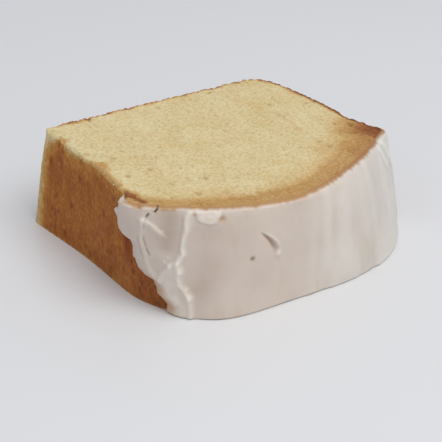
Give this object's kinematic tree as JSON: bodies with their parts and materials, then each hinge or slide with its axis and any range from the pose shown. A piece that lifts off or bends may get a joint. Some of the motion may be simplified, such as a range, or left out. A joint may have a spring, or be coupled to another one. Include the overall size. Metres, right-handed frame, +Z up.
{
  "type": "iced pound cake slice",
  "caption": "Thick slice of iced loaf cake lying on its cut face, with pale crumb, browned tin sides and a thin set white icing over its domed top.",
  "frame": {"origin": "centre of the slice's outline, on the lower cut face that it lies on", "axes": "+X across the loaf from one tin side to the other, -Y to the iced dome and +Y to the loaf's flat bottom, +Z up through the slice's thickness"},
  "size_m": [0.106, 0.085, 0.032],
  "materials": {
    "crumb": "matt, fine-pored",
    "icing": "satin, set sugar"
  },
  "bodies": {
    "root": {"cake_slice": "crumb", "icing": "icing"}
  },
  "joints": []
}
